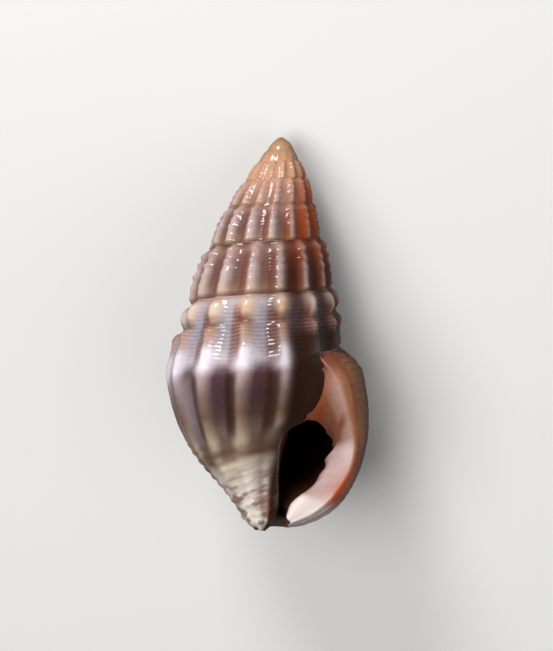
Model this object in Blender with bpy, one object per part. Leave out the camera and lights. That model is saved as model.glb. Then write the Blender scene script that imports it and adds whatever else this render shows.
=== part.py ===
"""A slender nassa snail shell, lying on its back with its mouth up.

The shell is one wall that grew in a right-handed spiral, so it is worked out as one skin. A point of
the outside has a turn, which counts the whorls from the apex to the lip, and a row, which runs from
the suture at the top of its whorl towards the canal. Upper whorls stop at the next suture, and the
last one runs on down to the canal. At its end the skin rounds the lip, enters the mouth and lines the
hollow inside. While it grows, the apex is the origin, the axis points down from it, the front is -Y
and lengths are millimetres. At the end the shell is laid down and made metres.
"""
import math

import bmesh
import bpy
import numpy as np
from mathutils import Matrix, Vector

LENGTH = 15.92              # apex to the end of the canal, mm
MM = 0.001

# How finely the skin is divided
COLUMNS = 60                # columns of points in one turn
SPIRE_ROWS = 6              # rows from one suture to the next
BODY_ROWS = 20              # rows from the last suture to the end of the canal
RIM_COLUMNS = 8             # columns from the outer edge of the lip to its rim
FACE_COLUMNS = 5            # columns from the rim of the lip to its inner edge
ARCH_POINTS = 4             # points over the roof of the canal notch
HOLLOW_LOOPS = 22           # loops of points along the hollow
LOOP_STEP = 15.0            # degrees between two loops of the hollow

# Growth
FIRST_TURN = -1.9           # the nucleus; the suture faces the front at every whole turn
LIP_TURN = 5.75             # the outer edge of the lip stands to the right of the axis
START_TURN = LIP_TURN + RIM_COLUMNS / COLUMNS - 1   # the last whorl has no whorl below from here
CONE_RADIUS = 0.824         # radius of the spire 1 mm below the apex
CONE_POWER = 0.663          # under 1, so the spire widens fastest near the apex
TIP_RADIUS = 0.748          # the apex itself is a blunt dome
LATE_GROWTH = 0.2           # extra swelling of the last half turn
LIP_RISE = 0.3              # the suture climbs by this much as it reaches the lip, mm
AXIS_BOW = 0.175            # the middle of the spire bows this far from the mouth side, mm
CANAL_LEAN = 0.49           # the end of the canal leans this far to the mouth side, mm

# Ribs and sutures, as shares of the radius
RIBS_PER_TURN = 14.7
RIB_SLOWING = 0.64          # the ribs stand wider apart on the last whorl
RIB_PHASE = 0.54
RIB_SHIFT = 0.29            # the middle whorls run ahead by this share of a rib
RIB_GAP = 4.0               # the ribs stand wider apart on the back of the last whorl, where it rests
RIB_GAP_TURN = 5.515
RIB_HEIGHT = 0.075
RIB_BREAK = 0.6             # this share of a rib is missing where a spiral saddle crosses it
SUTURE_DEPTH = 0.035

# Outline below the cone of the spire, down to the end of the canal: depth, radius
BASE = [
    (5.75, 2.63), (6.6, 2.86), (7.1, 2.94), (7.6, 3.04), (8.1, 3.17), (8.6, 3.35), (9.1, 3.52),
    (9.6, 3.62), (10.0, 3.63), (10.5, 3.52), (11.2, 3.31), (12.0, 2.98), (12.8, 2.52), (13.5, 2.02),
    (14.1, 1.57), (14.6, 1.24), (15.1, 0.94), (15.6, 0.62), (15.9, 0.25),
]
# Three lines along the lip, from the suture to its free end beside the canal. A point is x to the
# right, y to the back, depth below the apex.
OUTER_EDGE = [
    (3.02, 0.0, 8.15), (3.78, -0.1, 8.8), (4.2, -0.3, 9.9), (4.38, -0.4, 11.1), (4.38, -0.45, 12.1),
    (4.12, -0.4, 13.35), (3.5, -0.3, 14.6), (2.5, -0.2, 15.38), (1.56, -0.1, 15.72),
]
RIM = [
    (2.35, -2.4, 8.85), (2.85, -2.8, 9.4), (3.1, -2.8, 10.0), (3.5, -2.6, 11.0), (3.8, -2.35, 12.0),
    (3.72, -2.05, 13.1), (3.32, -1.75, 14.0), (2.6, -1.45, 14.85), (1.68, -1.15, 15.45),
]
INNER_EDGE = [
    (2.45, -2.65, 11.35), (2.6, -2.5, 11.55), (2.98, -2.2, 11.9), (3.15, -2.0, 12.25),
    (2.9, -1.8, 12.8), (2.8, -1.6, 13.2), (2.35, -1.45, 13.95), (1.95, -1.3, 14.3),
    (1.6, -1.1, 14.7), (1.46, -0.95, 15.2),
]
# Where the mouth begins on the body whorl: depth, degrees from the front to the right
MOUTH_ANGLES = [
    (8.8, 42.0), (11.1, 41.0), (11.4, 32.0), (11.85, 20.5), (12.4, 18.5), (13.0, 22.0),
    (13.45, 26.5), (13.8, 30.0), (14.25, 36.0), (14.6, 42.0), (15.2, 47.0), (15.9, 50.0),
]

# The hollow is a leaning oval at the lip, and shrinks as it goes back up the spiral
HOLLOW_RADIUS = 2.25        # its middle, from the axis
HOLLOW_DEPTH = 12.0         # its middle, below the apex
HOLLOW_HALF_LENGTH = 2.0
HOLLOW_HALF_WIDTH = 1.35
HOLLOW_LEAN = math.radians(24)
HOLLOW_SHRINK = 0.62        # its size one turn back, as a share of its size at the lip
HOLLOW_START = -25.0        # degrees behind the outer edge of the lip
ENTRY_LOOPS = 4             # over these the mouth becomes the oval
ENTRY_STEP = 0.35           # how far each of them sets the mouth back

REST_UP = Vector((-0.2058, -0.9275, -0.3121))     # this direction points up when the shell lies at rest


def smooth(low, high, x):
    """Rises from 0 at low to 1 at high."""
    u = min(max((x - low) / (high - low), 0.0), 1.0)
    return u * u * (3 - 2 * u)


def bump(x, centre, width):
    return math.exp(-(((x - centre) / width) ** 2))


def through(knots, values, x):
    """The value at x of a smooth curve through values at the knots."""
    slopes = np.gradient(values, knots, axis=0)
    i = min(max(int(np.searchsorted(knots, x, side="right")) - 1, 0), len(knots) - 2)
    width = knots[i + 1] - knots[i]
    u = min(max((x - knots[i]) / width, 0.0), 1.0)
    rise = u * u * (3 - 2 * u)
    start, end = u * (1 - u) ** 2 * width, u * u * (u - 1) * width
    return (1 - rise) * values[i] + rise * values[i + 1] + start * slopes[i] + end * slopes[i + 1]


def height_on(line, x):
    """A line of (x, height) pairs, read at x."""
    xs, heights = np.array(line).T
    return through(xs, heights, x)


def point_on(line, share):
    """The point at this share, 0 to 1, of the way along a line of points."""
    points = np.array(line)
    steps = np.sqrt(np.linalg.norm(np.diff(points, axis=0), axis=1))
    knots = np.concatenate([[0.0], np.cumsum(steps)]) / steps.sum()
    return through(knots, points, share)


def suture_depth(turn):
    """Each whorl is taller than the one before by about a half."""
    rise = LIP_RISE * smooth(LIP_TURN - 0.4, LIP_TURN, turn)
    return 17.21 * math.log1p(math.exp(0.437 * (turn - 6.65))) - 0.379 - rise


def outline_radius(depth):
    if depth > BASE[0][0]:
        return height_on(BASE, depth)
    depth = max(depth, 0.02)
    return max(CONE_RADIUS * depth**CONE_POWER, TIP_RADIUS * math.sqrt(depth))


def rib_wave(turn):
    """0 between two ribs and 1 on a crest."""
    late = max(turn - 4.0, 0.0)
    count = RIBS_PER_TURN * (turn - 4.0) - RIB_SLOWING * late * late - RIB_PHASE
    count += RIB_SHIFT * bump(turn, 3.0, 0.5)
    count -= RIB_GAP * (turn - RIB_GAP_TURN) * bump(turn, RIB_GAP_TURN, 0.12)
    return (0.5 + 0.5 * math.cos(2 * math.pi * count)) ** 1.6


def skin_radius(turn, depth):
    """Radius of the outside of a whorl, with its ribs and sutures."""
    top = suture_depth(turn)
    down = (depth - top) / (suture_depth(turn + 1) - top)
    grown = smooth(-0.6, 1.2, turn)
    covered = 1 - smooth(START_TURN - 0.01, START_TURN + 0.05, turn)
    swelling = 1 + LATE_GROWTH * max(turn - 5.25, 0.0) * smooth(0.0, 0.4, down)
    sutures = SUTURE_DEPTH * (bump(down, 0.0, 0.1) + bump(down, 1.0, 0.3) * covered)
    ribs = RIB_HEIGHT * rib_wave(turn + 0.012 * down) * grown
    ribs *= (0.45 + 0.55 * smooth(0.0, 0.14, down)) * (1 - smooth(1.7, 3.0, down))
    ribs *= 1 - RIB_BREAK * bump(down, 0.37, 0.09) * smooth(4.2, 4.8, turn)
    return outline_radius(depth) * swelling * (1 + ribs - sutures)


def skin_point(turn, depth):
    angle = -2 * math.pi * turn
    radius = skin_radius(turn, depth)
    shift = CANAL_LEAN * smooth(13.1, 15.8, depth)
    shift -= AXIS_BOW * smooth(1.4, 3.6, depth) * (1 - smooth(7.2, 9.4, depth))
    return np.array([radius * math.sin(angle) + shift, -radius * math.cos(angle), -depth])


def spire_point(turn, row):
    top = suture_depth(turn)
    return skin_point(turn, top + (suture_depth(turn + 1) - top) * row / SPIRE_ROWS)


def body_point(turn, row):
    """A point of the last whorl. Its columns slide round to follow the mouth, and flare to the lip."""
    share = row / BODY_ROWS
    top, level = suture_depth(turn), suture_depth(turn + 1)
    if row <= SPIRE_ROWS:
        depth = top + (level - top) * row / SPIRE_ROWS
    else:
        left = (BODY_ROWS - row) / (BODY_ROWS - SPIRE_ROWS)
        depth = level + (LENGTH - level) * (1 - left**1.08)
    here = turn
    if row > SPIRE_ROWS:
        slide = (height_on(MOUTH_ANGLES, depth) - MOUTH_ANGLES[0][1]) / 360
        here -= slide * (1 - smooth(0.0, 0.25, turn - START_TURN))
    point = skin_point(here, depth)
    flare = smooth(LIP_TURN - 0.42, LIP_TURN, turn)
    if flare > 0:
        x, y, edge_depth = point_on(OUTER_EDGE, share)
        ribs = 0.8 * RIB_HEIGHT * rib_wave(turn) * (1 - flare**4) * smooth(0.0, 0.1, share)
        reach = math.hypot(x, y) * (1 + ribs)
        angle = math.atan2(x, -y) - 2 * math.pi * (turn - LIP_TURN)
        edge = np.array([reach * math.sin(angle), -reach * math.cos(angle), -edge_depth])
        point += (edge - point) * flare * smooth(0.0, 0.12, share)
    return point


def lip_point(share, round_share):
    """A point on the quarter round from the outer edge of the lip to its rim."""
    edge, rim = point_on(OUTER_EDGE, share), point_on(RIM, share)
    sweep = round_share * math.pi / 2
    x = rim[0] + (edge[0] - rim[0]) * math.cos(sweep)
    y = edge[1] + (rim[1] - edge[1]) * math.sin(sweep)
    return np.array([x, y, -edge[2] - (rim[2] - edge[2]) * round_share])


def face_point(share, face_share):
    """A point on the rounded face between the rim of the lip and its inner edge."""
    rim, inner = point_on(RIM, share), point_on(INNER_EDGE, share)
    sweep = face_share * math.pi / 2
    x = rim[0] + (inner[0] - rim[0]) * math.sin(sweep)
    y = inner[1] + (rim[1] - inner[1]) * math.cos(sweep) - 0.12 * math.sin(2 * sweep)
    return np.array([x, y, -rim[2] - (inner[2] - rim[2]) * face_share])


def hollow_point(degrees, around):
    """A point on the wall of the hollow, this far behind the lip. around is 0 at its upper end."""
    back = degrees / 360
    size = HOLLOW_SHRINK**back
    sweep = 2 * math.pi * around
    along, across = HOLLOW_HALF_LENGTH * math.cos(sweep), HOLLOW_HALF_WIDTH * math.sin(sweep)
    out = HOLLOW_RADIUS + along * math.sin(HOLLOW_LEAN) + across * math.cos(HOLLOW_LEAN)
    down = HOLLOW_DEPTH - along * math.cos(HOLLOW_LEAN) + across * math.sin(HOLLOW_LEAN)
    depth = suture_depth(LIP_TURN - back) + (down - suture_depth(LIP_TURN)) * size
    angle = math.radians(90 + degrees)
    return np.array([out * size * math.sin(angle), -out * size * math.cos(angle), -depth])


class Skin:
    """The points and triangles of the shell, put on piece by piece."""

    def __init__(self):
        self.points = []
        self.faces = []
        self.columns = []

    def add(self, point):
        self.points.append(point)
        return len(self.points) - 1

    def face(self, a, b, c):
        if len({a, b, c}) == 3:
            self.faces.append((a, b, c))

    def strip(self, left, right):
        """Joins two lines of points with triangles, whatever their counts."""
        i = j = 0
        while i + 1 < len(left) or j + 1 < len(right):
            left_is_behind = (i + 1) * (len(right) - 1) <= (j + 1) * (len(left) - 1)
            if j + 1 == len(right) or (left_is_behind and i + 1 < len(left)):
                self.face(left[i], right[j], left[i + 1])
                i += 1
            else:
                self.face(left[i], right[j], right[j + 1])
                j += 1

    def fan(self, line, tip):
        for a, b in zip(line, line[1:]):
            self.face(a, b, tip)

    def grow_outside(self):
        """All columns from the nucleus to the rim of the lip. Whorls share the points of a suture."""
        edge = round((LIP_TURN - FIRST_TURN) * COLUMNS)
        rim = edge + RIM_COLUMNS
        self.start = rim - COLUMNS
        for i in range(rim + 1):
            turn = LIP_TURN + (i - edge) / COLUMNS
            if i < self.start:
                rows = [spire_point(turn, row) for row in range(SPIRE_ROWS)]
            elif i <= edge:
                rows = [body_point(turn, row) for row in range(BODY_ROWS + 1)]
            else:
                round_share = (i - edge) / RIM_COLUMNS
                rows = [lip_point(row / BODY_ROWS, round_share) for row in range(BODY_ROWS + 1)]
                rows[0] = body_point(turn, 0)
                rows[1] = 0.6 * rows[1] + 0.2 * rows[2] + 0.2 * rows[0]
            self.columns.append([self.add(point) for point in rows])
        self.points[self.columns[self.start][SPIRE_ROWS]] = self.points[self.columns[rim][0]]
        self.columns[rim][0] = self.columns[self.start][SPIRE_ROWS]
        for i in range(rim):
            if i < self.start:
                self.columns[i].append(self.columns[i + COLUMNS][0])
            after = self.columns[i + 1]
            if i + 1 < self.start:
                after = after + [self.columns[i + 1 + COLUMNS][0]]
            elif i + 1 == self.start:
                after = after[: SPIRE_ROWS + 1]
            self.strip(self.columns[i], after)

    def round_lip(self):
        """The face of the lip. Its upper end runs down the body whorl to the corner of the mouth."""
        start = self.columns[self.start]
        for k in range(1, FACE_COLUMNS + 1):
            line = [start[SPIRE_ROWS + k]]
            for row in range(1, BODY_ROWS + 1):
                line.append(self.add(face_point(row / BODY_ROWS, k / FACE_COLUMNS)))
            self.strip(self.columns[-1], line)
            self.columns.append(line)

    def close_apex(self):
        nucleus = self.add(np.zeros(3))
        crown = [column[0] for column in self.columns[: COLUMNS + 1]]
        self.fan(crown[::-1], nucleus)
        self.fan(self.columns[0], nucleus)

    def close_foot(self):
        """The end of the canal, with a notch between the canal and the lip. Returns its arch."""
        ring = [column[-1] for column in self.columns[self.start :]]
        one, two = self.points[ring[0]], self.points[ring[-1]]
        arch = [ring[0]]
        for k in range(1, ARCH_POINTS + 1):
            u = k / (ARCH_POINTS + 1)
            lift = np.array([0.0, 0.6, 0.6]) * math.sqrt(math.sin(math.pi * u))
            arch.append(self.add(one * (1 - u) + two * u + lift))
        arch.append(ring[-1])
        self.strip(ring, arch)
        return arch

    def line_hollow(self, arch):
        """The inside, from the edge of the mouth back up the spiral."""
        body_side = self.columns[self.start][SPIRE_ROWS + FACE_COLUMNS + 1 :]
        mouth = self.columns[-1] + arch[-2:0:-1] + body_side[::-1]
        lip_side = np.linspace(0.0, 0.5, BODY_ROWS + 1)
        around = np.concatenate([lip_side, np.linspace(0.5, 1.0, len(mouth) - BODY_ROWS + 1)[1:-1]])
        loop = mouth
        for k in range(1, HOLLOW_LOOPS + 1):
            degrees = HOLLOW_START + k * LOOP_STEP
            rows = [hollow_point(degrees, share) for share in around]
            if k < ENTRY_LOOPS:
                entry = [self.points[i] + np.array([0.0, k * ENTRY_STEP, 0.0]) for i in mouth]
                settled = smooth(0.0, ENTRY_LOOPS, k)
                rows = [a * (1 - settled) + b * settled for a, b in zip(entry, rows)]
            inner = [self.add(point) for point in rows]
            self.strip(loop + loop[:1], inner + inner[:1])
            loop = inner
        end = self.add(np.mean([self.points[i] for i in loop], axis=0))
        self.fan(loop + loop[:1], end)


def laid_down(points):
    """The points turned to the resting pose, apex towards +Y, on the ground and centred on it."""
    up = REST_UP.normalized()
    apex = Vector((0.0, 0.0, 1.0))
    ahead = (apex - up * apex.dot(up)).normalized()
    turned = np.array(points) @ np.array(Matrix((ahead.cross(up), ahead, up))).T
    low, high = turned.min(axis=0), turned.max(axis=0)
    return turned - [(low[0] + high[0]) / 2, (low[1] + high[1]) / 2, low[2]]


def shell_material():
    material = bpy.data.materials.new("nassa_shell")
    material.use_nodes = True
    surface = material.node_tree.nodes["Principled BSDF"]
    surface.inputs["Base Color"].default_value = (0.42, 0.29, 0.22, 1.0)
    surface.inputs["Roughness"].default_value = 0.35
    surface.inputs["Metallic"].default_value = 0.0
    return material


def make_shell():
    skin = Skin()
    skin.grow_outside()
    skin.round_lip()
    skin.close_apex()
    skin.line_hollow(skin.close_foot())
    mesh = bpy.data.meshes.new("shell")
    mesh.from_pydata((laid_down(skin.points) * MM).tolist(), [], skin.faces)
    form = bmesh.new()
    form.from_mesh(mesh)
    bmesh.ops.recalc_face_normals(form, faces=form.faces)
    form.to_mesh(mesh)
    form.free()
    mesh.shade_smooth()
    mesh.materials.append(shell_material())
    return bpy.data.objects.new("shell", mesh)


def main():
    for old in list(bpy.data.objects):
        bpy.data.objects.remove(old, do_unlink=True)
    collection = bpy.data.collections.new("nassa_shell")
    bpy.context.scene.collection.children.link(collection)
    collection.objects.link(make_shell())


main()
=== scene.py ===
import math

import bpy
import numpy as np
from mathutils import Matrix, Vector


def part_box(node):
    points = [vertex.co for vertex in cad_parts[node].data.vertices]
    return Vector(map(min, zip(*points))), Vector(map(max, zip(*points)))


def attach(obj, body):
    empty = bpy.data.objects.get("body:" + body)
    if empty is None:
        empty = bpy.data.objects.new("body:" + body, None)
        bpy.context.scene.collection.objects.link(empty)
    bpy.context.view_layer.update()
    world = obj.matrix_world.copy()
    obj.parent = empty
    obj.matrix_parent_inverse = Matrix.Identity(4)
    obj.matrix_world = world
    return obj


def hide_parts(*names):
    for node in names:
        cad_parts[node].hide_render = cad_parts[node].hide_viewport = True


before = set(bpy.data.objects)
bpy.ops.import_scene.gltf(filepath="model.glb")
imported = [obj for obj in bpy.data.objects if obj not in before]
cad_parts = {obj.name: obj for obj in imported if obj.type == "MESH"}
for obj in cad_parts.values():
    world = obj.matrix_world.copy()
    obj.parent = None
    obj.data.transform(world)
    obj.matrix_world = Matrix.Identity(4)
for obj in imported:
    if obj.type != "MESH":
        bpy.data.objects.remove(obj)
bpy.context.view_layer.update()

# ---------------------------------------------------------------------------------------------
# The wall of the shell
#
# One wall of lime, laid down turn by turn at the lip while the snail grew. It coils to the right,
# each whorl covering the foot of the one before, and the last whorl runs down into a short canal.
# Here it is still smooth: apex at the origin, axis down, front at -Y, lengths in millimetres.
# ---------------------------------------------------------------------------------------------

LENGTH = 15.92
COLUMNS = 165                       # columns of points in one turn
RIM_COLUMNS = 22                    # from the outer edge of the lip round to its rim
FACE_COLUMNS = 30                   # from the rim in to the inner edge
UPPER_ROWS = 70                     # rows from the last suture to the widest place
BASE_ROWS = 84                      # rows from there to the end of the canal
UPPER_LIP = 0.3                     # share of the lip's lines above the widest place
FIRST_TURN = -1.9
LIP_TURN = 5.75
START_TURN = LIP_TURN + RIM_COLUMNS / COLUMNS - 1

# Outline of the last whorl below its suture, as (depth, radius).
BASE = np.array([
    (5.75, 2.63), (6.6, 2.86), (7.1, 2.94), (7.6, 3.04), (8.1, 3.17), (8.6, 3.35), (9.1, 3.52),
    (9.6, 3.62), (10.0, 3.63), (10.5, 3.52), (11.2, 3.31), (12.0, 2.98), (12.8, 2.52), (13.5, 2.02),
    (14.1, 1.57), (14.6, 1.24), (15.1, 0.94), (15.6, 0.62), (15.9, 0.25),
])
# Three lines down the lip, from the suture to the canal: its outer edge, its rim, its inner edge.
OUTER_EDGE = [
    (3.02, 0.0, 8.15), (3.78, -0.1, 8.8), (4.2, -0.3, 9.9), (4.38, -0.4, 11.1), (4.38, -0.45, 12.1),
    (4.12, -0.4, 13.35), (3.5, -0.3, 14.6), (2.5, -0.2, 15.38), (1.56, -0.1, 15.72),
]
RIM = [
    (2.35, -2.4, 8.85), (2.85, -2.8, 9.4), (3.1, -2.8, 10.0), (3.5, -2.6, 11.0), (3.8, -2.35, 12.0),
    (3.72, -2.05, 13.1), (3.32, -1.75, 14.0), (2.6, -1.45, 14.85), (1.68, -1.15, 15.45),
]
INNER_EDGE = [
    (1.9, -2.85, 11.25), (2.35, -2.66, 11.28), (2.65, -2.46, 11.52), (2.98, -2.2, 11.9),
    (3.15, -2.0, 12.25), (2.9, -1.8, 12.8), (2.8, -1.6, 13.2), (2.35, -1.45, 13.95),
    (1.95, -1.3, 14.3), (1.6, -1.1, 14.7), (1.46, -0.95, 15.2),
]
# Where the mouth's left side stands, as (depth, degrees to the right of the front).
MOUTH_ANGLES = np.array([
    (8.8, 42.0), (11.1, 41.0), (11.4, 32.0), (11.85, 20.5), (12.4, 18.5), (13.0, 22.0),
    (13.45, 26.5), (13.8, 30.0), (14.25, 36.0), (14.6, 42.0), (15.2, 47.0), (15.9, 50.0),
])


def smooth(low, high, x):
    """Rises from 0 at low to 1 at high."""
    u = np.clip((np.asarray(x, float) - low) / (high - low), 0.0, 1.0)
    return u * u * (3 - 2 * u)


def bump(x, centre, width):
    return np.exp(-(((np.asarray(x, float) - centre) / width) ** 2))


def through(knots, values, x):
    """Values at x of a smooth curve through values at the knots."""
    slopes = np.gradient(values, knots, axis=0)
    x = np.atleast_1d(np.asarray(x, float))
    i = np.clip(np.searchsorted(knots, x, side="right") - 1, 0, len(knots) - 2)
    width = knots[i + 1] - knots[i]
    u = np.clip((x - knots[i]) / width, 0.0, 1.0)
    rise, start, end = u * u * (3 - 2 * u), u * (1 - u) ** 2 * width, u * u * (u - 1) * width
    if values.ndim > 1:
        rise, start, end = rise[:, None], start[:, None], end[:, None]
    return (1 - rise) * values[i] + rise * values[i + 1] + start * slopes[i] + end * slopes[i + 1]


def points_on(line, shares):
    """Points at these shares of the way along a line of points."""
    points = np.array(line)
    steps = np.sqrt(np.linalg.norm(np.diff(points, axis=0), axis=1))
    return through(np.concatenate([[0.0], np.cumsum(steps)]) / steps.sum(), points, shares)


def suture_depth(turn):
    """Each whorl is taller than the one before by about a half, and the last climbs at the lip."""
    rise = 0.3 * smooth(LIP_TURN - 0.4, LIP_TURN, turn)
    return 17.21 * np.log1p(np.exp(0.437 * (np.asarray(turn, float) - 6.65))) - 0.379 - rise


def outline_radius(depth):
    depth = np.maximum(depth, 0.02)
    cone = np.maximum(0.824 * depth**0.663, 0.748 * np.sqrt(depth))
    return np.where(depth <= BASE[0, 0], cone, through(BASE[:, 0], BASE[:, 1], depth))


def spiral(angle, radius, depth):
    return np.stack([radius * np.sin(angle), -radius * np.cos(angle), -depth], axis=-1)


def skin(turn, depth):
    """Points of the smooth outside, and how far down its whorl each one lies, in whorl heights."""
    turn = np.broadcast_to(turn, depth.shape)
    top = suture_depth(turn)
    down = (depth - top) / (suture_depth(turn + 1) - top)
    covered = 1 - smooth(START_TURN - 0.01, START_TURN + 0.05, turn)
    swelling = 1 + 0.2 * np.maximum(turn - 5.25, 0.0) * smooth(0.0, 0.4, down)
    sutures = 0.035 * (bump(down, 0.0, 0.1) + bump(down, 1.0, 0.3) * covered)
    radius = outline_radius(depth) * swelling * (1 - sutures)
    points = spiral(-2 * math.pi * turn, radius, depth)
    points[:, 0] -= 0.175 * smooth(1.4, 3.6, depth) * (1 - smooth(7.2, 9.4, depth))
    points[:, 0] += 0.49 * smooth(13.1, 15.8, depth)
    return points, down


class Wall:
    """The points of the wall, what the pattern needs to know at each, and its triangles."""

    MARKS = ("turn", "down", "relief", "along", "across", "inside")

    def __init__(self):
        self.points = []
        self.marks = []
        self.faces = []
        self.columns = []

    def add(self, points, **marks):
        """Adds a line of points and returns their numbers."""
        first = len(self.points)
        self.points.extend(points)
        filled = [np.broadcast_to(marks.get(name, 0.0), len(points)) for name in self.MARKS]
        self.marks.extend(np.stack(filled, axis=1))
        return list(range(first, first + len(points)))

    def face(self, a, b, c):
        if len({a, b, c}) == 3:
            self.faces.append((a, b, c))

    def strip(self, left, right):
        """Joins two lines of points with triangles, whatever their counts."""
        i = j = 0
        while i + 1 < len(left) or j + 1 < len(right):
            left_is_behind = (i + 1) * (len(right) - 1) <= (j + 1) * (len(left) - 1)
            if j + 1 == len(right) or (left_is_behind and i + 1 < len(left)):
                self.face(left[i], right[j], left[i + 1])
                i += 1
            else:
                self.face(left[i], right[j], right[j + 1])
                j += 1

    def fan(self, line, tip):
        for a, b in zip(line, line[1:]):
            self.face(a, b, tip)


wall = Wall()
edge_column = round((LIP_TURN - FIRST_TURN) * COLUMNS)
rim_column = edge_column + RIM_COLUMNS
start_column = rim_column - COLUMNS
body_rows = UPPER_ROWS + BASE_ROWS
shares = np.arange(body_rows + 1) / body_rows
first_share = UPPER_ROWS / body_rows
upper_lip = shares / first_share * UPPER_LIP
lower_lip = UPPER_LIP + (shares - first_share) / (1 - first_share) * (1 - UPPER_LIP)
lip_shares = np.where(shares < first_share, upper_lip, lower_lip)
outer_edge, rim_line = points_on(OUTER_EDGE, lip_shares), points_on(RIM, lip_shares)

for i in range(rim_column + 1):
    turn = LIP_TURN + (i - edge_column) / COLUMNS
    grown = smooth(-0.6, 1.2, turn)
    top, level = suture_depth(turn), suture_depth(turn + 1)
    if i < start_column:
        rows = int(10 + 60 * smooth(-1.5, 4.9, turn))
        points, down = skin(turn, top + (level - top) * np.arange(rows) / rows)
        relief = grown * (1 - 0.4 * smooth(0.9, 1.0, down))
        wall.columns.append(wall.add(points, turn=turn, down=down, relief=relief))
        continue
    depth = top + (level - top) * np.minimum(shares / first_share, 1.0)
    left = np.clip((1 - shares) / (1 - first_share), 0.0, 1.0)
    depth = np.where(shares > first_share, level + (LENGTH - level) * (1 - left**1.08), depth)
    slide = (through(MOUTH_ANGLES[:, 0], MOUTH_ANGLES[:, 1], depth) - MOUTH_ANGLES[0, 1]) / 360
    slide *= (shares > first_share) * (1 - smooth(0.0, 0.25, turn - START_TURN))
    points, down = skin(turn - slide, depth)
    flare = float(smooth(LIP_TURN - 0.42, LIP_TURN, turn))
    if flare > 0:
        reach = np.hypot(outer_edge[:, 0], outer_edge[:, 1])
        angle = np.arctan2(outer_edge[:, 0], -outer_edge[:, 1]) - 2 * math.pi * (turn - LIP_TURN)
        edge = spiral(angle, reach, outer_edge[:, 2])
        points += (edge - points) * (flare * smooth(0.0, 0.12, lip_shares))[:, None]
    across = 0.0
    if i > edge_column:
        across = (i - edge_column) / RIM_COLUMNS
        sweep = across * math.pi / 2
        flush, hung = points[0], np.empty_like(points)
        hung[:, 0] = rim_line[:, 0] + (outer_edge[:, 0] - rim_line[:, 0]) * math.cos(sweep)
        hung[:, 1] = outer_edge[:, 1] + (rim_line[:, 1] - outer_edge[:, 1]) * math.sin(sweep)
        hung[:, 2] = -outer_edge[:, 2] - (rim_line[:, 2] - outer_edge[:, 2]) * across
        points = hung + (flush - hung[0]) * (1 - smooth(0.0, 0.14, lip_shares))[:, None]
    relief = np.full(len(points), float(grown))
    relief *= 1 - smooth(LIP_TURN - 0.1, LIP_TURN + 0.02, turn)
    relief *= 1 - 0.7 * (1 - smooth(0.01, 0.06, turn - START_TURN)) * (shares > first_share)
    relief *= 1 - smooth(0.95, 1.0, lip_shares)
    wall.columns.append(wall.add(
        points, turn=turn - slide, down=down, relief=relief, along=lip_shares, across=across
    ))

start, rim = wall.columns[start_column], wall.columns[rim_column]
wall.points[start[UPPER_ROWS]] = wall.points[rim[0]]
rim[0] = start[UPPER_ROWS]
for i in range(rim_column):
    here, after = wall.columns[i], wall.columns[i + 1]
    if i < start_column:
        here.append(wall.columns[i + COLUMNS][0])
    if i + 1 < start_column:
        after = after + [wall.columns[i + 1 + COLUMNS][0]]
    elif i + 1 == start_column:
        after = after[: UPPER_ROWS + 1]
    wall.strip(here, after)

nucleus = wall.add(np.zeros((1, 3)), turn=FIRST_TURN)[0]
wall.fan([column[0] for column in wall.columns[: COLUMNS + 1]][::-1], nucleus)
wall.fan(wall.columns[0], nucleus)

# ---------------------------------------------------------------------------------------------
# The lip, the canal and the hollow
#
# The full-grown snail stops coiling and thickens its lip: a broad glossy roll with a row of small
# teeth on its inner side. Below, the lip and the canal leave a notch. Behind the mouth the same
# wall lines the hollow, which narrows as it winds back up.
# ---------------------------------------------------------------------------------------------

TEETH = 8
TOOTH_HEIGHT = 0.1
LIP_SWELL = 0.3                     # how far the roll of the lip stands forward
CORNER = 0.08                       # share of the lip's length next to its upper corner
CORNER_SHADE = 0.12
NOTCH_RISE = 0.6                    # of the arch over the end of the canal
HOLLOW_RADIUS, HOLLOW_DEPTH = 2.25, 12.0
HOLLOW_HALF_LENGTH, HOLLOW_HALF_WIDTH = 2.0, 1.35
HOLLOW_LEAN = math.radians(24)
HOLLOW_SHRINK = 0.62                # in each turn back up the spiral
HOLLOW_LOOPS = 40
FIRST_LOOP, LOOP_STEP = -25.0, 8.2  # degrees behind the lip, and from loop to loop
ENTRY_LOOPS, ENTRY_STEP = 9, 0.16   # loops that pass from the mouth's shape to an oval
DARKENING_LOOPS = 14

inner_edge = points_on(INNER_EDGE, lip_shares)
teeth = (0.5 + 0.5 * np.cos(2 * math.pi * TEETH * (lip_shares - 0.36))) ** 2
teeth *= smooth(0.16, 0.3, lip_shares) * (1 - smooth(0.4, 0.85, lip_shares))
for k in range(1, FACE_COLUMNS + 1):
    across = k / FACE_COLUMNS
    sweep = across * math.pi / 2
    face = np.empty_like(inner_edge)
    face[:, 0] = rim_line[:, 0] + (inner_edge[:, 0] - rim_line[:, 0]) * math.sin(sweep)
    face[:, 1] = inner_edge[:, 1] + (rim_line[:, 1] - inner_edge[:, 1]) * math.cos(sweep)
    face[:, 1] -= LIP_SWELL * math.sin(sweep) ** 2 * math.cos(sweep)
    face[:, 2] = -rim_line[:, 2] - (inner_edge[:, 2] - rim_line[:, 2]) * across
    swell = TOOTH_HEIGHT * teeth * float(smooth(0.35, 1.0, across))
    face[:, 0] -= swell
    face[:, 1] -= 0.5 * swell
    corner = CORNER_SHADE * (1 - smooth(0.02, CORNER, lip_shares[1:]))
    line = [start[UPPER_ROWS + k]] + wall.add(
        face[1:], turn=LIP_TURN + RIM_COLUMNS / COLUMNS, along=lip_shares[1:], across=1 + across,
        inside=corner,
    )
    wall.marks[line[0]][Wall.MARKS.index("inside")] = CORNER_SHADE
    wall.strip(wall.columns[-1], line)
    wall.columns.append(line)
inner = wall.columns[-1]

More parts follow.
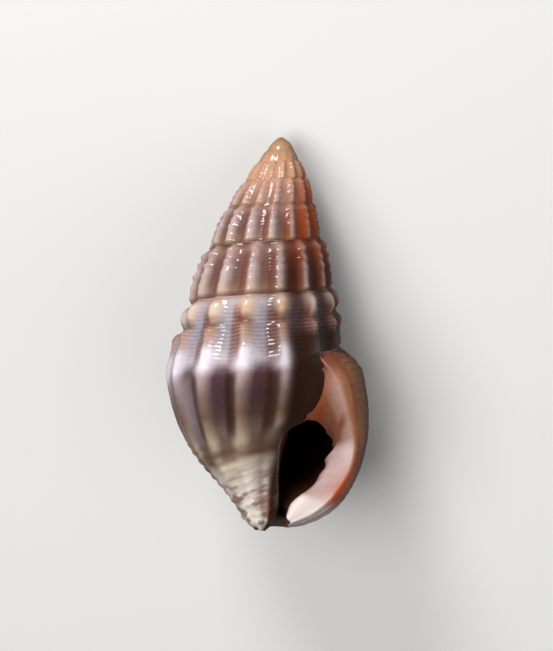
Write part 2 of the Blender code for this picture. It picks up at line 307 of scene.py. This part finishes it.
ring = [column[-1] for column in wall.columns[start_column:]]
one, two = wall.points[ring[0]], wall.points[ring[-1]]
u = np.arange(1, 12)[:, None] / 12
swell = np.array([0.0, NOTCH_RISE, NOTCH_RISE]) * np.sqrt(np.sin(math.pi * u))
arch_points = one * (1 - u) + two * u + swell
# The arch is marked fully inside, so it is painted as dark as the deep hollow: painted shade.
arch = [ring[0]] + wall.add(arch_points, along=1.0, across=2.0, inside=1.0) + [ring[-1]]
wall.strip(arch, ring)

body_side = start[UPPER_ROWS + FACE_COLUMNS + 1 :]
mouth = inner + arch[-2:0:-1] + body_side[::-1]
around = np.concatenate([
    np.linspace(0.0, 0.5, body_rows + 1), np.linspace(0.5, 1.0, len(mouth) - body_rows + 1)[1:-1]
])
entry = np.array([wall.points[n] for n in mouth])
loop = mouth
for k in range(1, HOLLOW_LOOPS + 1):
    behind = FIRST_LOOP + k * LOOP_STEP
    size = HOLLOW_SHRINK ** (behind / 360)
    sweep = 2 * math.pi * around
    length, width = HOLLOW_HALF_LENGTH * np.cos(sweep), HOLLOW_HALF_WIDTH * np.sin(sweep)
    out = HOLLOW_RADIUS + length * math.sin(HOLLOW_LEAN) + width * math.cos(HOLLOW_LEAN)
    drop = HOLLOW_DEPTH - length * math.cos(HOLLOW_LEAN) + width * math.sin(HOLLOW_LEAN)
    depth = suture_depth(LIP_TURN - behind / 360) + (drop - suture_depth(LIP_TURN)) * size
    points = spiral(math.radians(90 + behind), out * size, depth)
    if k < ENTRY_LOOPS:
        settled = float(smooth(0.0, ENTRY_LOOPS, k))
        points = (entry + np.array([0.0, ENTRY_STEP * k, 0.0])) * (1 - settled) + points * settled
    # Loops deeper in are marked further inside, and the material darkens them: painted shade.
    dark = min(k / DARKENING_LOOPS, 1.0)
    line = wall.add(points, turn=LIP_TURN, inside=dark, along=around, across=2.0)
    wall.strip(loop + loop[:1], line + line[:1])
    loop = line
middle = np.mean([wall.points[n] for n in loop], axis=0)[None]
end = wall.add(middle, inside=1.0, across=2.0)[0]
wall.fan((loop + loop[:1])[::-1], end)

mesh = bpy.data.meshes.new("shell_wall")
mesh.from_pydata(np.array(wall.points).tolist(), [], wall.faces)
marks = np.array(wall.marks)
for n, name in enumerate(Wall.MARKS):
    mark_of_point = mesh.attributes.new(name, "FLOAT", "POINT")
    mark_of_point.data.foreach_set("value", marks[:, n].astype(np.float32))
smooth_wall = bpy.data.objects.new("shell_wall", mesh)
bpy.context.scene.collection.objects.link(smooth_wall)

# ---------------------------------------------------------------------------------------------
# Ribs, spiral threads and cords
#
# Fourteen or so ribs to a turn run down each whorl, the mark of the mantle's folds. On the last
# whorl a spiral saddle cuts them into a row of beads below the suture and a row of knobs under it.
# Fine threads wind between the ribs and weakly over the outside of the lip, and oblique rough
# cords wrap the foot of the shell. The rule below raises them all from the smooth wall.
# ---------------------------------------------------------------------------------------------

RELIEF = {                          # heights are shares of the distance from the axis
    "Ribs in a Turn": 14.7,
    "Rib Slowing": 0.64,            # the later turns have fewer
    "Rib Height": 0.075,
    "Bead Height": 0.016,
    "Knob Height": 0.03,
    "Saddle Depth": 0.004,
    "Thread Height": 0.0066,
    "Cord Height": 0.05,            # this one and the next are in millimetres
    "Unevenness": 0.03,
    "Seed": 3.0,
}
COUNT_TURN, RIB_PHASE = 4, 0.54     # the ribs are counted from this turn, with this lead
RIB_SHIFT, RIB_SHIFT_TURN = 0.29, 3.0
RIB_GAP, RIB_GAP_TURN = 4.0, 5.515  # they stand wider apart on the back, where the shell rests
BEADS, SADDLE, KNOBS = 0.215, 0.39, 0.56    # how far down the last whorl each row lies
SPIRE_ROWS = 5.2                    # rows of beads on each whorl of the spire
LIP_THREADS, LIP_FOLDS = 27, 2.6    # threads down the outside of the lip, and folds across it
WIDEST_THREADS = 3.0                # the threads grow no higher past this distance from the axis


class Nodes:
    """Lays nodes into a tree."""

    def __init__(self, tree):
        self.tree = tree

    def add(self, kind, inputs=(), **settings):
        node = self.tree.nodes.new(kind)
        for name, value in settings.items():
            setattr(node, name, value)
        for name, value in dict(inputs).items():
            self.feed(node.inputs[name], value)
        return node

    def feed(self, socket, value):
        if isinstance(value, Field):
            value = value.socket
        if isinstance(value, bpy.types.NodeSocket):
            self.tree.links.new(value, socket)
        else:
            socket.default_value = value

    def field(self, socket):
        return Field(self, socket)


class Field:
    """A number worked out afresh at every point of a surface."""

    def __init__(self, nodes, socket):
        self.nodes, self.socket = nodes, socket

    def work(self, operation, *others):
        node = self.nodes.add("ShaderNodeMath", enumerate((self, *others)), operation=operation)
        return Field(self.nodes, node.outputs[0])

    def __add__(self, other):
        return self.work("ADD", other)

    def __sub__(self, other):
        return self.work("SUBTRACT", other)

    def __mul__(self, other):
        return self.work("MULTIPLY", other)

    def __truediv__(self, other):
        return self.work("DIVIDE", other)

    def __pow__(self, other):
        return self.work("POWER", other)

    def wave(self):
        """Runs between 0 and 1, with a crest at every whole number."""
        return (self * math.tau).work("COSINE") * 0.5 + 0.5

    def ramp(self, low, high, start=0.0, end=1.0):
        """Goes smoothly from start to end while this goes from low to high."""
        node = self.nodes.add(
            "ShaderNodeMapRange",
            {"Value": self, "From Min": low, "From Max": high, "To Min": start, "To Max": end},
            interpolation_type="SMOOTHSTEP",
        )
        return Field(self.nodes, node.outputs[0])

    def near(self, centre, width):
        """1 where this is at centre, falling to 0 on both sides."""
        return (((self - centre) / width) ** 2 * -1).work("EXPONENT")


tree = bpy.data.node_groups.new("shell relief", "GeometryNodeTree")
tree.interface.new_socket("Geometry", in_out="INPUT", socket_type="NodeSocketGeometry")
for name in RELIEF:
    tree.interface.new_socket(name, in_out="INPUT", socket_type="NodeSocketFloat")
tree.interface.new_socket("Material", in_out="INPUT", socket_type="NodeSocketMaterial")
tree.interface.new_socket("Geometry", in_out="OUTPUT", socket_type="NodeSocketGeometry")
nodes = Nodes(tree)
given = nodes.add("NodeGroupInput").outputs


def mark(name):
    node = nodes.add("GeometryNodeInputNamedAttribute", {"Name": name}, data_type="FLOAT")
    return nodes.field(node.outputs[0])


turn, down, relief = mark("turn"), mark("down"), mark("relief")
along, across, slope = mark("along"), mark("across"), mark("slope")
place = nodes.add("GeometryNodeInputPosition").outputs[0]
parts = nodes.add("ShaderNodeSeparateXYZ", {0: place}).outputs
east, north, level = (nodes.field(part) for part in parts)
reach = (east * east + north * north) ** 0.5
seed = nodes.field(given["Seed"])
noise = nodes.add(
    "ShaderNodeTexNoise", {"Vector": place, "W": seed, "Scale": 0.9, "Detail": 2.0},
    noise_dimensions="4D",
)
drift = nodes.field(noise.outputs[0]) - 0.5
noise = nodes.add(
    "ShaderNodeTexNoise", {"Vector": place, "W": seed + 7, "Scale": 3.2, "Detail": 3.0},
    noise_dimensions="4D",
)
rough = nodes.field(noise.outputs[0]) - 0.5

late = (turn - COUNT_TURN).work("MAXIMUM", 0.0)
count = (turn - COUNT_TURN) * given["Ribs in a Turn"] - late * late * given["Rib Slowing"]
count = count - RIB_PHASE + drift * 0.1 + turn.near(RIB_SHIFT_TURN, 0.5) * RIB_SHIFT
count = count - (turn - RIB_GAP_TURN) * turn.near(RIB_GAP_TURN, 0.12) * RIB_GAP
rib = count.wave() ** 1.6
flank = (count - 0.25).wave() * 2 - 1
profile = down.ramp(0.0, 0.14, 0.45, 1.0) * down.ramp(1.7, 3.0, 1.0, 0.0)
last = turn.ramp(4.2, 4.8)
saddle = down.near(SADDLE, 0.075) * last
rows = (down * SPIRE_ROWS + 0.1 + drift * 0.8).wave() ** 1.5
rows = rows * (rough * 3 + 0.9).work("MAXIMUM", 0.0) * (last * -1 + 1)
beads = (down.near(BEADS, 0.11) * last + rows * down.ramp(0.4, 0.8, 2.1, 0.5)) * rib
knobs = down.near(KNOBS, 0.09) * rib * last
threads = (down * (turn * 1.75 + 7.5) + drift * 0.3).wave()
between = rib * (last * -1.05 - 0.1) + 0.35 + last * 0.75
between = between + down.near(KNOBS, 0.14) * rib * last * 0.9
strength = (rough * 3.5 + 0.9).work("MAXIMUM", 0.1) * between.work("MAXIMUM", 0.2)
threads = threads * strength * down.ramp(0.95, 1.2, 1.0, 0.0)
outside = turn.ramp(5.66, 5.76) * across.ramp(0.35, 0.95, 1.0, 0.0)
lip_threads = (along * LIP_THREADS + drift * 2.5).wave()
lip_threads = lip_threads * (rough * 4 + 0.6).work("MAXIMUM", 0.0) * outside
folds = (across * LIP_FOLDS + rough * 0.9 + drift).wave() * outside
cords = (slope + drift * 0.9).wave() * (level * -1).ramp(12.2, 13.0)
ruggedness = (rough * 1.6 + 1).work("MAXIMUM", 0.2)

near_reach = reach.work("MINIMUM", WIDEST_THREADS)
rise = rib * profile * (saddle * -0.75 + 1) * given["Rib Height"] * reach
rise = rise + beads * given["Bead Height"] * reach + knobs * given["Knob Height"] * reach
rise = rise - saddle * given["Saddle Depth"] * reach
rise = rise + threads * given["Thread Height"] * near_reach
rise = rise + cords * ruggedness * given["Cord Height"]
rise = rise * relief
rise = rise + (lip_threads * 0.8 + folds * 1.2) * given["Thread Height"] * near_reach
rise = rise + rough * given["Unevenness"] * across.ramp(1.0, 2.0, 1.0, 0.0)
normal = nodes.add("GeometryNodeInputNormal").outputs[0]
offset = nodes.add("ShaderNodeVectorMath", {0: normal}, operation="SCALE")
nodes.feed(offset.inputs["Scale"], rise)
body = given["Geometry"]
for name, value in (
    ("rib", rib * relief), ("flank", flank * relief), ("thread", threads * relief + lip_threads),
):
    stored = nodes.add(
        "GeometryNodeStoreNamedAttribute", {"Geometry": body, "Name": name, "Value": value},
        data_type="FLOAT", domain="POINT",
    )
    body = stored.outputs[0]
moved = nodes.add("GeometryNodeSetPosition", {"Geometry": body, "Offset": offset.outputs[0]})
real = nodes.add("GeometryNodeRealizeInstances", {"Geometry": moved.outputs[0]})
covered = nodes.add(
    "GeometryNodeSetMaterial", {"Geometry": real.outputs[0], "Material": given["Material"]}
)
nodes.add("NodeGroupOutput", {"Geometry": covered.outputs[0]})

# ---------------------------------------------------------------------------------------------
# The colours of the shell
#
# Glossy lime, grey-white and lilac on the ribs, purple-brown between them, tan towards the apex.
# A pale band rings the last whorl at its widest place, with dark panels under it. The foot is
# cream with brown streaks, and the lip is peach outside, with an orange stain, and lilac-white
# within. The hollow and the notch are painted dark as shade, one flank of each rib and the right
# side carry painted shade, and the threads a painted highlight.
# ---------------------------------------------------------------------------------------------


def colour(red, green, blue):
    """A colour written as on a screen, in the numbers that a material takes."""
    parts = [value / 255 for value in (red, green, blue)]
    return (*(p / 12.92 if p <= 0.04045 else ((p + 0.055) / 1.055) ** 2.4 for p in parts), 1.0)


glaze = bpy.data.materials.new("nassa_shell_glaze")
glaze.use_nodes = True
nodes = Nodes(glaze.node_tree)
surface = glaze.node_tree.nodes["Principled BSDF"]


def seen(name):
    return nodes.field(nodes.add("ShaderNodeAttribute", attribute_name=name).outputs["Fac"])


def colours(value, most, *stops):
    """The colour at this value, from colours given at values between 0 and most."""
    node = nodes.add("ShaderNodeValToRGB", {0: value / most})
    elements = node.color_ramp.elements
    while len(elements) < len(stops):
        elements.new(0.5)
    for element, (at, *tone) in zip(elements, stops):
        element.position = at / most
        element.color = colour(*tone)
    return node.outputs[0]


def mix(share, first, second, blend="MIX"):
    inputs = {0: share, 6: first, 7: second}
    return nodes.add("ShaderNodeMix", inputs, data_type="RGBA", blend_type=blend).outputs[2]


spot = nodes.add("ShaderNodeTexCoord").outputs["Object"]


def cloud(scale, detail=3.0, where=spot):
    node = nodes.add("ShaderNodeTexNoise", {"Vector": where, "Scale": scale, "Detail": detail})
    return nodes.field(node.outputs[0])


turn, down, along, across, inside = map(seen, ("turn", "down", "along", "across", "inside"))
rib, flank, thread, slope = map(seen, ("rib", "flank", "thread", "slope"))
wound = nodes.add("ShaderNodeCombineXYZ", {0: turn * 30, 1: down * 2.2}).outputs[0]
patches, speckle, streaks = cloud(700), cloud(5000), cloud(1.0, 4.0, wound)
drift = patches - 0.5
down_here = down + drift * 0.16

between_body = colours(
    down_here, 4.0, (0.0, 150, 126, 120), (0.1, 190, 174, 180), (0.28, 160, 150, 160),
    (0.5, 144, 138, 150), (0.8, 160, 150, 162), (0.98, 196, 184, 192), (1.11, 116, 94, 104),
    (1.24, 80, 54, 62), (1.6, 72, 50, 58), (1.85, 82, 60, 58), (2.1, 116, 98, 90),
    (2.28, 116, 94, 80), (2.45, 116, 90, 72), (2.6, 226, 210, 190), (3.0, 250, 240, 230),
)
rib_body = colours(
    down_here, 4.0, (0.0, 172, 140, 120), (0.14, 226, 204, 186), (0.27, 226, 200, 180),
    (0.4, 118, 76, 56), (0.5, 168, 126, 102), (0.62, 182, 146, 128), (0.76, 190, 168, 164),
    (0.86, 232, 224, 232), (1.08, 240, 234, 244), (1.22, 186, 164, 166), (1.5, 136, 112, 104),
    (1.8, 122, 94, 78), (2.05, 168, 146, 122), (2.22, 196, 178, 158), (2.4, 142, 112, 90),
    (2.6, 236, 222, 204), (3.0, 252, 244, 236),
)
between_spire = colours(
    down_here, 1.0, (0.0, 100, 64, 54), (0.12, 140, 106, 96), (0.3, 118, 82, 74),
    (0.45, 112, 78, 72), (0.7, 114, 84, 76), (0.88, 132, 102, 86), (1.0, 96, 62, 48),
)
rib_spire = colours(
    down_here, 1.0, (0.0, 136, 98, 84), (0.1, 190, 162, 152), (0.3, 186, 158, 152),
    (0.45, 200, 180, 180), (0.7, 196, 174, 170), (0.88, 204, 182, 164), (1.0, 144, 106, 88),
)
age = turn + down
tip = colours(age / 4, 1.0, (0.0, 188, 146, 112), (0.3, 204, 158, 128), (0.6, 206, 156, 132))

# Ribs and the spaces between them, on the spire and on the last whorl.
is_body = turn.ramp(4.3, 4.7)
between_tone = mix(is_body, between_spire, between_body)
rib_tone = mix(is_body, rib_spire, rib_body)
low_zone = down.ramp(1.1, 1.3) * down.ramp(2.0, 2.3, 1.0, 0.0)
pale = turn.ramp(5.08, 5.2) * low_zone * patches.ramp(0.35, 0.6, 0.9, 0.4)
between_tone = mix(pale, between_tone, colour(160, 143, 148))
share = (rib * 1.25 + drift * 0.3 - low_zone * 0.22).work("MAXIMUM", 0.0).work("MINIMUM", 1.0)
skin_tone = mix(share, between_tone, rib_tone)

# Rust and painted shade on the flank of each rib away from the light, painted highlights on the
# threads, the tan apex.
rust_and_painted_shade = flank.ramp(0.2, 0.9) * down.ramp(0.05, 0.3) * down.ramp(0.8, 1.2, 1.0, 0.1) * 0.8
skin_tone = mix(rust_and_painted_shade, skin_tone, colour(112, 56, 32))
# Painted shade: in the dark panels that flank is darkened further still.
shaded = flank.ramp(0.2, 0.95) * low_zone * 0.8
skin_tone = mix(shaded, skin_tone, colour(46, 28, 20))
# The pale threads are a painted highlight along each thread, stronger on the last whorl.
skin_tone = mix(thread * is_body * 0.16 + thread * 0.1, skin_tone, colour(216, 208, 214))
skin_tone = mix((age + drift).ramp(1.6, 3.6, 1.0, 0.0), skin_tone, tip)

# The right side, away from the lamps: rosy on the young whorls, partly their own tone, partly a
# painted glow of light through the shell; dark russet on the old ones, which is painted shade.
side = nodes.field(nodes.add("ShaderNodeSeparateXYZ", {0: spot}).outputs[0])
rosy_and_painted_glow = side.ramp(0.0002, 0.0012) * age.ramp(3.4, 5.4, 1.0, 0.0) * (rib * -0.3 + 1)
skin_tone = mix(rosy_and_painted_glow, skin_tone, colour(160, 70, 22))
russet_painted_shade = (is_body * 0.0005 + side).ramp(-0.0002, 0.001) * age.ramp(3.2, 4.6)
russet_painted_shade = russet_painted_shade * turn.ramp(4.95, 5.03, 0.9, 0.0)
skin_tone = mix(russet_painted_shade * (rib * -0.8 + 1), skin_tone, colour(52, 20, 8))

# Brown streaks along the cords of the foot, a dark glaze beside the mouth that is partly painted
# shade, amber on the beads.
wrapped = nodes.add("ShaderNodeCombineXYZ", {0: turn * 9, 1: slope * 1.1}).outputs[0]
stains = cloud(1.0, 2.0, wrapped)
foot = down.ramp(2.35, 2.6) * down.ramp(2.6, 3.0, 0.25, 1.0)
skin_tone = mix(foot * stains.ramp(0.44, 0.6) * 0.8, skin_tone, colour(140, 92, 62))
# Beside the mouth: brown callus, darkened further with painted shade where the body turns from the
# light.
callus_and_painted_shade = turn.ramp(4.93, 4.96, 1.0, 0.0) * turn.ramp(4.75, 4.8) * down.ramp(0.5, 0.75)
skin_tone = mix(callus_and_painted_shade * 0.9, skin_tone, colour(46, 24, 14))
amber = down.near(0.2, 0.09) * is_body * patches.ramp(0.48, 0.62) * rib
skin_tone = mix(amber * 0.45, skin_tone, colour(214, 160, 98))

# The lip: a tan roll above, lilac-white below, both darker towards the inner edge; below, that
# darkening is painted shade where the lip turns into the mouth.
across_here = across + drift * 0.25
along_here = along + drift * 0.1
roll = colours(
    across_here, 2.0, (0.0, 156, 84, 36), (0.3, 170, 98, 46), (0.65, 184, 118, 74),
    (0.85, 182, 128, 98), (1.0, 184, 148, 138), (1.25, 160, 122, 108), (1.5, 122, 78, 56),
    (2.0, 96, 56, 42),
)
glossy = colours(
    across_here, 2.0, (0.0, 160, 90, 50), (0.3, 142, 56, 22), (0.6, 160, 70, 32),
    (0.8, 214, 152, 116), (0.95, 240, 216, 208), (1.3, 216, 190, 188), (2.0, 146, 112, 100),
)
lip_tone = mix(along_here.ramp(0.42, 0.52), roll, glossy)
lip_tone = mix(along_here.ramp(0.74, 0.84) * 0.9, lip_tone, colour(255, 240, 236))
lip_tone = mix(along.ramp(0.03, 0.2, 0.8, 0.0), lip_tone, colour(132, 64, 30))

# An orange stain and growth streaks on its outside, and two rusty spots within.
blush = (along + drift * 0.12).near(0.68, 0.1) * (across + drift * 0.4).near(0.68, 0.42)
grown_at = nodes.add("ShaderNodeCombineXYZ", {0: across * 8, 1: along * 3}).outputs[0]
growth = cloud(1.0, 3.0, grown_at).ramp(0.4, 0.62) * across.ramp(0.6, 1.05, 0.5, 0.0)
lip_tone = mix(growth, lip_tone, colour(112, 64, 42))
lip_tone = mix(blush * 0.9, lip_tone, colour(212, 84, 16))
lip_tone = mix(thread * across.ramp(0.5, 1.0, 0.2, 0.0), lip_tone, colour(222, 178, 150))
spots = along.near(0.34, 0.035) * across.near(1.3, 0.3)
spots = spots + along.near(0.1, 0.05) * across.near(1.85, 0.3)
lip_tone = mix(spots * patches.ramp(0.2, 0.4) * 0.8, lip_tone, colour(122, 54, 24))

# Skin and lip together, with painted shade darkening the notch and the hollow, and a fine speckle
# over all.
tone = mix(turn.ramp(5.55, 5.72), skin_tone, lip_tone)
# Painted shade on the strip along the notch.
notch = along.ramp(0.97, 0.99) * turn.ramp(5.02, 5.1) * turn.ramp(5.6, 5.66, 1.0, 0.0)
tone = mix(notch, tone, colour(52, 34, 26))
# Painted shade in the hollow, from brown at the mouth to near black deep in.
tone = mix(inside.ramp(0.0, 0.14), tone, colour(104, 62, 50))
tone = mix(inside.ramp(0.08, 0.5), tone, colour(22, 13, 10))
tone = mix(0.2, tone, mix(speckle, colour(90, 70, 60), colour(240, 225, 215)), "OVERLAY")

nodes.feed(surface.inputs["Base Color"], tone)
dulling = inside.ramp(0.0, 0.1, 0.0, 0.4)
nodes.feed(surface.inputs["Roughness"], patches.ramp(0.3, 0.7, 0.16, 0.3) + dulling)
surface.inputs["IOR"].default_value = 1.55
surface.inputs["Specular IOR Level"].default_value = 0.1
surface.inputs["Coat IOR"].default_value = 1.45
surface.inputs["Coat Weight"].default_value = 0.8
surface.inputs["Coat Roughness"].default_value = 0.06
grain = nodes.add(
    "ShaderNodeBump", {"Height": speckle * 0.5 + streaks, "Distance": 0.00004, "Strength": 0.5}
)
nodes.feed(surface.inputs["Normal"], grain.outputs[0])

# ---------------------------------------------------------------------------------------------
# The shell, grown with its relief and laid on its side
#
# Put down, the shell lies on its back and its rounded side, mouth up and apex towards +Y.
# ---------------------------------------------------------------------------------------------

CORD_SPACING, CORD_CLIMB = 0.42, 0.42   # from cord to cord, and how steeply they wind
CORD_REACH = 1.6                    # radians from the front over which they climb
FRONT_TURN = 5
REST_UP = Vector((-0.2058, -0.9275, -0.3121))   # the way that points up once the shell lies still
MILLIMETRE = 0.001

depth = -np.array(wall.points)[:, 2]
from_front = 2 * math.pi * (FRONT_TURN - marks[:, Wall.MARKS.index("turn")])
way_round = CORD_REACH * np.tanh(from_front / CORD_REACH)
slope = (depth + CORD_CLIMB * outline_radius(depth) * way_round) / CORD_SPACING
mark_of_point = mesh.attributes.new("slope", "FLOAT", "POINT")
mark_of_point.data.foreach_set("value", slope.astype(np.float32))
grow = smooth_wall.modifiers.new("relief", "NODES")
grow.node_group = tree
settings = {**RELIEF, "Material": glaze}
for item in tree.interface.items_tree:
    if item.name in settings and item.in_out == "INPUT":
        grow[item.identifier] = settings[item.name]
graph = bpy.context.evaluated_depsgraph_get()
grown_mesh = bpy.data.meshes.new_from_object(smooth_wall.evaluated_get(graph))
bpy.data.objects.remove(smooth_wall)

up = REST_UP.normalized()
apex = Vector((0.0, 0.0, 1.0))
ahead = (apex - up * apex.dot(up)).normalized()
laying = np.array(Matrix((ahead.cross(up), ahead, up)))
points = np.empty(len(grown_mesh.vertices) * 3, np.float32)
grown_mesh.vertices.foreach_get("co", points)
points = points.reshape(-1, 3) @ laying.T
low, high = points.min(axis=0), points.max(axis=0)
cad_low, cad_high = np.array(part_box("shell"))
fit = np.minimum((cad_high - cad_low) / (high - low), MILLIMETRE)
middle = np.array([(low[0] + high[0]) / 2, (low[1] + high[1]) / 2, low[2]])
stand = np.array([(cad_low[0] + cad_high[0]) / 2, (cad_low[1] + cad_high[1]) / 2, cad_low[2]])
points = (points - middle) * fit + stand
grown_mesh.vertices.foreach_set("co", points.astype(np.float32).ravel())
grown_mesh.update()
for polygon in grown_mesh.polygons:
    polygon.use_smooth = True
shell = bpy.data.objects.new("nassa_shell", grown_mesh)
bpy.context.scene.collection.objects.link(shell)
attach(shell, "root")
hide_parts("shell")

# ---------------------------------------------------------------------------------------------
# Floor, lights and camera
#
# A sheet of pale paper, with two broad soft lamps and one small bright one that gives the glints.
# The camera looks into the mouth, with the apex up and leaning a little to the right.
# ---------------------------------------------------------------------------------------------

PAPER_SIZE = 4.0
PAPER_SEEN, PAPER_LIT = (0.84, 0.83, 0.81, 1.0), (0.16, 0.15, 0.14, 1.0)
LEAN = math.radians(5)
OFF_CENTRE = (0.000364, 0.000343, 0.0)  # of the view, to the right of the shell's middle and up
VIEW_HEIGHT = 0.0263
LENS = 180.0
SKY_STRENGTH = 0.09

bpy.ops.mesh.primitive_plane_add(size=PAPER_SIZE, location=(0.0, 0.0, 0.0))
floor = bpy.context.object
floor.name = "studio_floor"
paper = bpy.data.materials.new("pale_paper")
paper.use_nodes = True
nodes = Nodes(paper.node_tree)
seen_straight = nodes.field(nodes.add("ShaderNodeLightPath").outputs["Is Camera Ray"])
matt = paper.node_tree.nodes["Principled BSDF"]
nodes.feed(matt.inputs["Base Color"], mix(seen_straight, PAPER_LIT, PAPER_SEEN))
matt.inputs["Roughness"].default_value = 0.9
floor.data.materials.append(paper)

facing = Vector(laying @ np.array((0.0, -1.0, 0.0)))
tip_way = Vector(laying @ np.array((0.0, 0.0, 1.0)))
side_way = tip_way.cross(facing)
image_up = tip_way * math.cos(LEAN) - side_way * math.sin(LEAN)
image_right = side_way * math.cos(LEAN) + tip_way * math.sin(LEAN)
spread = points @ np.array([image_right, image_up, facing]).T
centre = (spread.min(axis=0) + spread.max(axis=0)) / 2 + OFF_CENTRE
target = image_right * centre[0] + image_up * centre[1] + facing * centre[2]

camera = bpy.data.objects.new("camera", bpy.data.cameras.new("camera"))
bpy.context.scene.collection.objects.link(camera)
camera.data.lens = LENS
camera.data.clip_start = MILLIMETRE
stand_off = target + facing * VIEW_HEIGHT * LENS / camera.data.sensor_width
turned = Matrix((image_right, image_up, facing)).transposed().to_4x4()
camera.matrix_world = Matrix.Translation(stand_off) @ turned
bpy.context.scene.camera = camera


def lamp(name, power, size, right, rise, toward, glints):
    """A soft round lamp, this far in metres to the right, above and in front of the shell."""
    light = bpy.data.objects.new(name, bpy.data.lights.new(name, "AREA"))
    bpy.context.scene.collection.objects.link(light)
    light.data.energy = power
    light.data.shape = "DISK"
    light.data.size = size
    light.visible_glossy = glints
    way = image_right * right + image_up * rise + facing * toward
    light.location = target + way
    light.rotation_euler = way.to_track_quat("Z", "Y").to_euler()


lamp("window", 0.152, 0.14, -0.08, -0.015, 0.125, False)
lamp("desk_lamp", 0.15, 0.056, -0.05, 0.11, 0.085, True)
lamp("reflector", 0.062, 0.15, 0.09, -0.05, 0.11, False)
world = bpy.data.worlds.new("studio")
bpy.context.scene.world = world
world.use_nodes = True
sky = world.node_tree.nodes["Background"]
sky.inputs["Color"].default_value = (1.0, 1.0, 1.0, 1.0)
sky.inputs["Strength"].default_value = SKY_STRENGTH
bpy.context.scene.view_settings.view_transform = "Standard"
